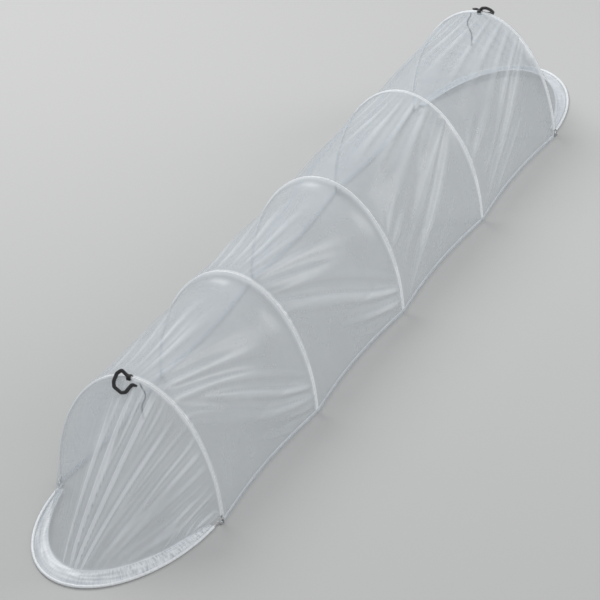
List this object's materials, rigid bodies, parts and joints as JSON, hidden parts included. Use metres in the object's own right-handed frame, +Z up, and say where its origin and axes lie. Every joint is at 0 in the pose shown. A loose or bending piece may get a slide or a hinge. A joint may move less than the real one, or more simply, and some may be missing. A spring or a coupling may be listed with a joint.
{
  "type": "row cover tunnel",
  "caption": "Low garden tunnel of clear film over wire hoops, with hooped ends that lift open, vent hooks and sides that slide up.",
  "frame": {"origin": "on the soil line, under the middle of the tunnel", "axes": "+Y along the tunnel from its near end to its far end, +X to the right seen from the near end, +Z up"},
  "size_m": [0.506, 3.0998, 0.5379],
  "materials": {
    "wire": "galvanised, dull",
    "clear_film": "thin milky polythene, creased",
    "sleeve_film": "doubled polythene, gathered",
    "black_plastic": "moulded, satin",
    "black_cord": "braided"
  },
  "bodies": {
    "frame": {"hoop_1": "wire", "hoop_2": "wire", "hoop_3": "wire", "hoop_4": "wire", "hoop_5": "wire", "hoop_sleeve_1": "sleeve_film", "hoop_sleeve_2": "sleeve_film", "hoop_sleeve_3": "sleeve_film", "hoop_sleeve_4": "sleeve_film", "hoop_sleeve_5": "sleeve_film", "bay_film_1": "clear_film", "bay_film_2": "clear_film", "bay_film_3": "clear_film", "bay_film_4": "clear_film", "left_side_skirt": "clear_film", "right_side_skirt": "clear_film", "near_end_canopy": "clear_film", "far_end_canopy": "clear_film", "near_tie_cord": "black_cord", "near_tie_knot": "black_cord", "far_tie_cord": "black_cord", "far_tie_knot": "black_cord"},
    "near_end": {"near_end_hoop": "wire", "near_end_sleeve": "sleeve_film", "near_hem_band": "sleeve_film"},
    "near_hook": {"near_vent_hook": "black_plastic"},
    "far_end": {"far_end_hoop": "wire", "far_end_sleeve": "sleeve_film", "far_hem_band": "sleeve_film"},
    "far_hook": {"far_vent_hook": "black_plastic"},
    "left_side": {"left_side_hem": "sleeve_film"},
    "right_side": {"right_side_hem": "sleeve_film"}
  },
  "joints": [
    {"name": "near_end_lift", "type": "hinge", "parent": "frame", "child": "near_end", "pos_m": [0, -1.1475, 0.005], "axis": [-1, 0, 0], "range_deg": [0, 80], "deforming": ["near_end_canopy"]},
    {"name": "near_hook_swing", "type": "hinge", "parent": "frame", "child": "near_hook", "pos_m": [0, -1.14, 0.3955], "axis": [-1, 0, 0], "range_deg": [0, 60]},
    {"name": "far_end_lift", "type": "hinge", "parent": "frame", "child": "far_end", "pos_m": [0, 1.1475, 0.005], "axis": [1, 0, 0], "range_deg": [0, 80], "deforming": ["far_end_canopy"]},
    {"name": "far_hook_swing", "type": "hinge", "parent": "frame", "child": "far_hook", "pos_m": [0, 1.14, 0.3955], "axis": [1, 0, 0], "range_deg": [0, 60]},
    {"name": "left_side_lift", "type": "slide", "parent": "frame", "child": "left_side", "axis": [0, 0, 1], "range_m": [0, 0.102], "deforming": ["left_side_skirt"]},
    {"name": "right_side_lift", "type": "slide", "parent": "frame", "child": "right_side", "axis": [0, 0, 1], "range_m": [0, 0.102], "deforming": ["right_side_skirt"]}
  ]
}
